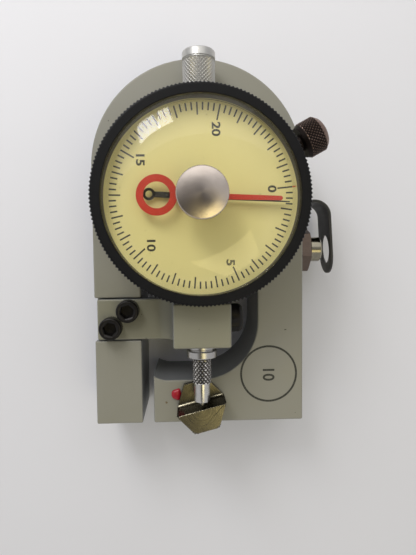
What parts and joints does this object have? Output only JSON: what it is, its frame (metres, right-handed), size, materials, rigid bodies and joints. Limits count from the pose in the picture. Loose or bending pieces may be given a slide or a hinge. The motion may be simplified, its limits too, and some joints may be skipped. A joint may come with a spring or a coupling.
{
  "type": "force gauge",
  "caption": "C-shaped spring beam with a dial indicator on a bracket that reads the beam's flex as force, a load stud with strap hook and a hexagonal calibration anvil.",
  "frame": {"origin": "middle of the bounding box at its bottom, where the beam's back lies on the bench", "axes": "+Z from the beam's back to the dial, +Y along the indicator's stem from the anvil to the dust cap, +X towards the load stud"},
  "size_m": [0.075, 0.1092, 0.0551],
  "materials": {
    "body_paint": "satin",
    "bracket_paint": "satin",
    "black_steel": "satin",
    "yellow_nickel": "polished",
    "seal_lacquer": "gloss",
    "bright_steel": "polished",
    "brown_steel": "satin",
    "black_strap": "satin",
    "case_enamel": "gloss",
    "brass": "satin",
    "bezel_enamel": "satin",
    "dial_yellow": "matte",
    "crystal_clear": "clear",
    "knob_steel": "polished",
    "red_enamel": "satin",
    "black_enamel": "satin"
  },
  "bodies": {
    "frame": {"beam": "body_paint", "bracket": "bracket_paint", "arm_screw_1": "black_steel", "arm_screw_2": "black_steel", "stem_clamp_screw": "black_steel", "anvil_screw": "black_steel", "anvil_seal": "seal_lacquer", "load_stud": "bright_steel", "load_nut": "brown_steel", "strap_hook": "black_strap", "case": "case_enamel", "back_cover": "case_enamel", "back_screw_1": "black_steel", "back_screw_2": "black_steel", "back_screw_3": "black_steel", "back_screw_4": "black_steel", "stem": "bright_steel", "upper_bushing": "brass", "dust_cap": "bright_steel", "bezel_wire": "bright_steel", "lower_plate": "brass", "upper_plate": "brass", "pillar_1": "brass", "pillar_2": "brass", "pillar_3": "brass", "plate_screw_1": "black_steel", "plate_screw_2": "black_steel", "plate_screw_3": "black_steel", "centre_bridge": "brass", "hairspring": "bright_steel", "hairspring_stud": "brass", "return_spring": "bright_steel", "spring_post": "bright_steel", "guide_rail": "brass"},
    "spindle": {"spindle": "bright_steel", "contact_point": "bright_steel", "guide_pin": "bright_steel"},
    "rack_wheel": {"rack_pinion": "bright_steel", "rack_gear": "brass"},
    "middle_wheel": {"middle_pinion": "bright_steel", "middle_gear": "brass"},
    "hand": {"centre_pinion": "bright_steel", "hand": "black_enamel"},
    "takeup_wheel": {"takeup_gear": "brass", "takeup_arbor": "bright_steel"},
    "bezel": {"bezel": "bezel_enamel", "dial": "dial_yellow", "dial_ring": "bezel_enamel", "crystal": "crystal_clear"},
    "max_hand": {"knob": "knob_steel", "knob_arbor": "bright_steel", "max_hand": "red_enamel"},
    "bezel_clamp": {"bezel_clamp": "brown_steel"},
    "anvil": {"anvil": "yellow_nickel"}
  },
  "joints": [
    {"name": "spindle_slide", "type": "slide", "parent": "frame", "child": "spindle", "axis": [0, 1, 0], "range_m": [0, 0.0005], "stiffness_N_per_m": 60, "springref_m": -0.015},
    {"name": "hand_turn", "type": "hinge", "parent": "frame", "child": "hand", "pos_m": [-0.00551, 0.01206, 0.0439], "axis": [0, 0, 1], "range_deg": [-713.66, 5]},
    {"name": "middle_wheel_turn", "type": "hinge", "parent": "frame", "child": "middle_wheel", "pos_m": [-0.01251, 0.02029, 0.0374], "axis": [0, 0, 1], "range_deg": [-1, 95]},
    {"name": "rack_wheel_turn", "type": "hinge", "parent": "frame", "child": "rack_wheel", "pos_m": [-0.00119, 0.02396, 0.0334], "axis": [0, 0, 1], "range_deg": [-15, 1]},
    {"name": "takeup_wheel_turn", "type": "hinge", "parent": "frame", "child": "takeup_wheel", "pos_m": [-0.00131, 0.00479, 0.0368], "axis": [0, 0, 1], "range_deg": [-1, 125]},
    {"name": "bezel_turn", "type": "hinge", "parent": "frame", "child": "bezel", "pos_m": [-0.00551, 0.01206, 0.0434], "axis": [0, 0, 1], "continuous": true},
    {"name": "max_hand_turn", "type": "hinge", "parent": "bezel", "child": "max_hand", "pos_m": [-0.00551, 0.01206, 0.0474], "axis": [0, 0, 1], "continuous": true},
    {"name": "bezel_clamp_turn", "type": "hinge", "parent": "frame", "child": "bezel_clamp", "pos_m": [0.02078, 0.02652, 0.03725], "axis": [0.8763, 0.4818, 0], "range_deg": [0, 270]},
    {"name": "anvil_turn", "type": "hinge", "parent": "frame", "child": "anvil", "pos_m": [-0.00581, -0.04754, 0.0304], "axis": [0, 0, 1], "range_deg": [-10, 10]}
  ],
  "couplings": [
    {"joint": "hand_turn", "follows": "spindle_slide", "rad_per_m": -24737},
    {"joint": "middle_wheel_turn", "follows": "spindle_slide", "rad_per_m": 3092.1},
    {"joint": "rack_wheel_turn", "follows": "spindle_slide", "rad_per_m": -412.28},
    {"joint": "takeup_wheel_turn", "follows": "spindle_slide", "rad_per_m": 4122.8}
  ]
}
